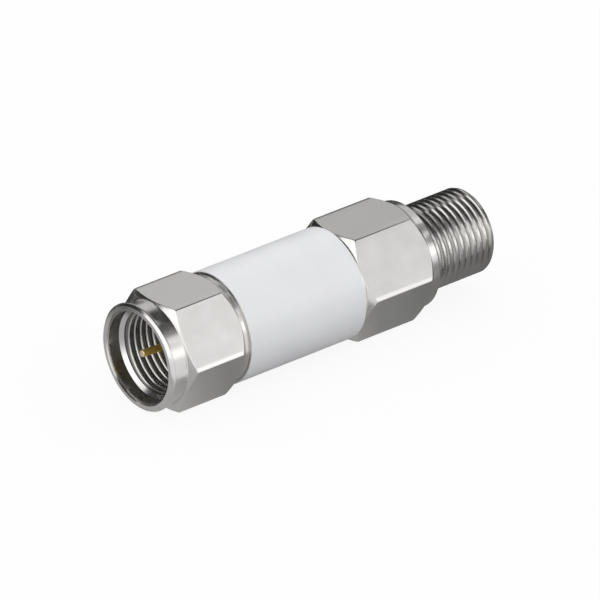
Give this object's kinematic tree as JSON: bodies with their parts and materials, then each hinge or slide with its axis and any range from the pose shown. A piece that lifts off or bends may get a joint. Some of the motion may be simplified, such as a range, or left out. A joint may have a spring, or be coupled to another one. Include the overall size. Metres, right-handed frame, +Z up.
{
  "type": "inline coaxial signal amplifier",
  "caption": "Slim round metal inline aerial amplifier with a hexagon coupling nut plug at one end and a threaded coaxial socket at the other.",
  "frame": {"origin": "middle of the overall box, on the common axis of the plug, the tube and the socket", "axes": "+X along the axis from the plug to the threaded socket, +Z up, square to one flat of each hexagon"},
  "size_m": [0.0446, 0.0138, 0.0124],
  "materials": {
    "nickel_plate": "bright nickel plate on turned brass",
    "tube_plate": "bright nickel plate on drawn brass tube",
    "label_paper": "white satin coated paper, self adhesive",
    "gold_plate": "thin gold coloured plate",
    "spring_bronze": "bare spring bronze wire",
    "insulator_plastic": "natural white moulded plastic",
    "board_laminate": "green solder mask on glass fibre laminate",
    "bare_copper": "thin tinned copper foil",
    "capacitor_ceramic": "fired tan ceramic",
    "package_black": "black moulding compound",
    "tinned_metal": "matt tin plate",
    "tantalum_yellow": "yellow moulding compound",
    "ferrite": "dark grey sintered ferrite",
    "coil_wire": "enamelled copper wire",
    "solder": "bright tin solder"
  },
  "bodies": {
    "body": {"plug_body": "nickel_plate", "plug_insulator": "insulator_plastic", "centre_pin": "gold_plate", "housing_tube": "tube_plate", "label": "label_paper", "socket_body": "nickel_plate", "face_insulator": "insulator_plastic", "rear_insulator": "insulator_plastic", "socket_contact": "gold_plate", "circuit_board": "board_laminate", "copper_tracks": "bare_copper", "chip_capacitor_bodies": "capacitor_ceramic", "chip_capacitor_ends": "tinned_metal", "chip_resistor_bodies": "package_black", "chip_resistor_ends": "tinned_metal", "gain_transistors": "package_black", "gain_transistor_leads": "tinned_metal", "voltage_regulator": "package_black", "regulator_leads": "tinned_metal", "surge_diode": "package_black", "surge_diode_leads": "tinned_metal", "tantalum_capacitor": "tantalum_yellow", "tantalum_leads": "tinned_metal", "choke_cores": "ferrite", "choke_windings": "coil_wire", "choke_feet": "tinned_metal", "solder_joints": "solder"},
    "nut_ring": {"retaining_ring": "spring_bronze"},
    "nut": {"coupling_nut": "nickel_plate"}
  },
  "joints": [
    {"name": "nut_float", "type": "slide", "parent": "body", "child": "nut_ring", "axis": [-1, 0, 0], "range_m": [0, 0.0004]},
    {"name": "nut_spin", "type": "hinge", "parent": "nut_ring", "child": "nut", "pos_m": [-0.01716, 0, 0], "axis": [1, 0, 0], "continuous": true}
  ]
}
